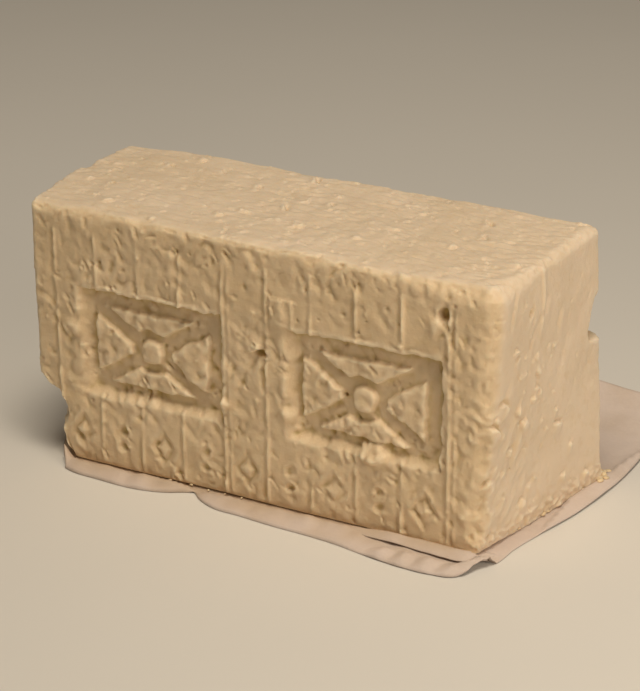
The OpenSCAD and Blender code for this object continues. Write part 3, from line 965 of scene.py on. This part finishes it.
# Both layers are soaked with brine close to the block, except towards the right front corner.
for piece in (paper_sheet, paper_fold):
    spots = points_of(piece.data) * METRE
    soak = 0.95 * (1.0 - smooth((-42.0 - spots[:, 1] + 5.0 * soft_noise(spots, 11.0, 231)) / 19.0))
    soak *= (1.0 - smooth((spots[:, 0] - 92.0) / 14.0)) * (1.0 - smooth((spots[:, 1] - 30.0) / 20.0))
    write_values(piece.data, "soaked", soak)
    piece.data.materials.append(damp_paper)
    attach(piece, "root")
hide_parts("wrapping_paper")


# The crumbs: bits of curd that fell from the cut right end, and lie on the paper and along the foot.
crumbs = bmesh.new()
chance = np.random.default_rng(17)


def add_crumb(at, size):
    """One lumpy crumb, longer than wide, and pressed flat."""
    turn = Matrix.Rotation(chance.uniform(0, math.tau), 4, "Z")
    shares = [chance.uniform(least, most) for least, most in ((0.9, 1.6), (0.6, 1.0), (0.4, 0.7))]
    place = Matrix.Translation(Vector(at)) @ turn @ Matrix.Diagonal((*shares, 1.0))
    made = bmesh.ops.create_icosphere(crumbs, subdivisions=2, radius=size / 2)
    points = np.array([vert.co for vert in made["verts"]]) + chance.uniform(0, 500)
    swell = 1.0 + 0.34 * soft_noise(points, 0.55 * size, 221) + 0.2 * soft_noise(points, 0.25 * size, 222)
    for vert, factor in zip(made["verts"], swell):
        vert.co = place @ (vert.co * factor)


# A heap at the right back corner, a line along the foot of the right end, and a few below the stamped face.
HEAP_AT = (121.0, 41.0)
HEAP_COUNT = 17
LINE_COUNT = 17
FRONT_COUNT = 9
for _ in range(HEAP_COUNT):
    spot = chance.normal(HEAP_AT, (1.1, 2.6))
    size = chance.uniform(1.4, 3.8)
    add_crumb((spot[0], spot[1], 0.8 + 0.4 * size + chance.uniform(0.0, 1.5)), size)
for _ in range(LINE_COUNT):
    run = chance.beta(2.0, 1.4)
    spot = (101.2 + 19.0 * run + chance.exponential(0.3), -44.0 + 88.0 * run)
    size = chance.uniform(1.4, 3.6)
    add_crumb((spot[0], spot[1], 0.4 + 0.42 * size), size)
for _ in range(FRONT_COUNT):
    spot = (chance.uniform(-60, 100), -43.6 + chance.uniform(-1.0, 0.5))
    size = chance.uniform(0.6, 1.6)
    add_crumb((spot[0], spot[1], 1.2 + 0.3 * size), size)
bmesh.ops.scale(crumbs, vec=(1 / METRE,) * 3, verts=crumbs.verts)
crumb_mesh = mesh_from(crumbs, "curd_crumbs")
crumb_mesh.shade_smooth()
curd_crumbs = add_to_scene("curd_crumbs", crumb_mesh)
crumb_mesh.materials.append(curd)
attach(curd_crumbs, "root")


# The studio: a pale floor, a broad soft light overhead and a smaller one low on the right, both warm, and
# a camera that looks down on the stamped face and the cut right end. Sizes here are in metres.
FLOOR_REACH = 4.0
FLOOR_LIGHT = (0.73, 0.71, 0.68)
FLOOR_DARK = (0.70, 0.68, 0.65)
floor_mesh = grid_mesh("studio_floor", (2, 2), FLOOR_REACH)
studio_floor = add_to_scene("studio_floor", floor_mesh)
pale, nodes, links, shader = new_material("pale_floor")
place = nodes.new("ShaderNodeTexCoord").outputs["Object"]
mottle = noise_node(nodes, links, place, 6.0, 2.0)
links.new(mix_node(nodes, links, mottle, FLOOR_DARK, FLOOR_LIGHT), shader.inputs["Base Color"])
shader.inputs["Roughness"].default_value = 0.8
floor_mesh.materials.append(pale)


def soft_light(name, way, distance, size, power, colour):
    """A square soft light, seen from the block in the given direction, and turned to face it."""
    lamp = bpy.data.lights.new(name, "AREA")
    lamp.shape = "SQUARE"
    lamp.size = size
    lamp.energy = power
    lamp.color = colour
    light = add_to_scene(name, lamp)
    light.location = Vector(way).normalized() * distance
    light.rotation_euler = Vector(way).to_track_quat("Z", "Y").to_euler()


soft_light("overhead", (0.15, -0.22, 1.0), distance=2.0, size=0.8, power=25.8, colour=(0.985, 0.865, 0.69))
soft_light("key", (0.90, -0.35, 0.45), distance=0.8, size=0.3, power=1.95, colour=(1.0, 0.86, 0.69))

ROOM_COLOUR = (1.0, 0.86, 0.70, 1.0)
ROOM_STRENGTH = 0.05
world = bpy.data.worlds.new("studio_world")
world.use_nodes = True
background = world.node_tree.nodes["Background"]
background.inputs["Color"].default_value = ROOM_COLOUR
background.inputs["Strength"].default_value = ROOM_STRENGTH
bpy.context.scene.world = world
bpy.context.scene.view_settings.view_transform = "Standard"

CAMERA_AT = (0.4178, -0.7481, 0.4262)
CAMERA_TURN = 28.696
CAMERA_RISE = 23.413
CAMERA_ROLL = -0.539
CAMERA_LENS = 114.6
SENSOR_WIDTH = 36.0
camera_data = bpy.data.cameras.new("camera")
camera_data.lens = CAMERA_LENS
camera_data.sensor_width = SENSOR_WIDTH
camera = add_to_scene("camera", camera_data)
turn, rise, roll = (math.radians(angle) for angle in (CAMERA_TURN, CAMERA_RISE, CAMERA_ROLL))
aim = Matrix.Rotation(turn, 4, "Z") @ Matrix.Rotation(math.pi / 2 - rise, 4, "X")
aim = aim @ Matrix.Rotation(roll, 4, "Z")
camera.matrix_world = Matrix.Translation(CAMERA_AT) @ aim
bpy.context.scene.camera = camera

bpy.context.view_layer.update()
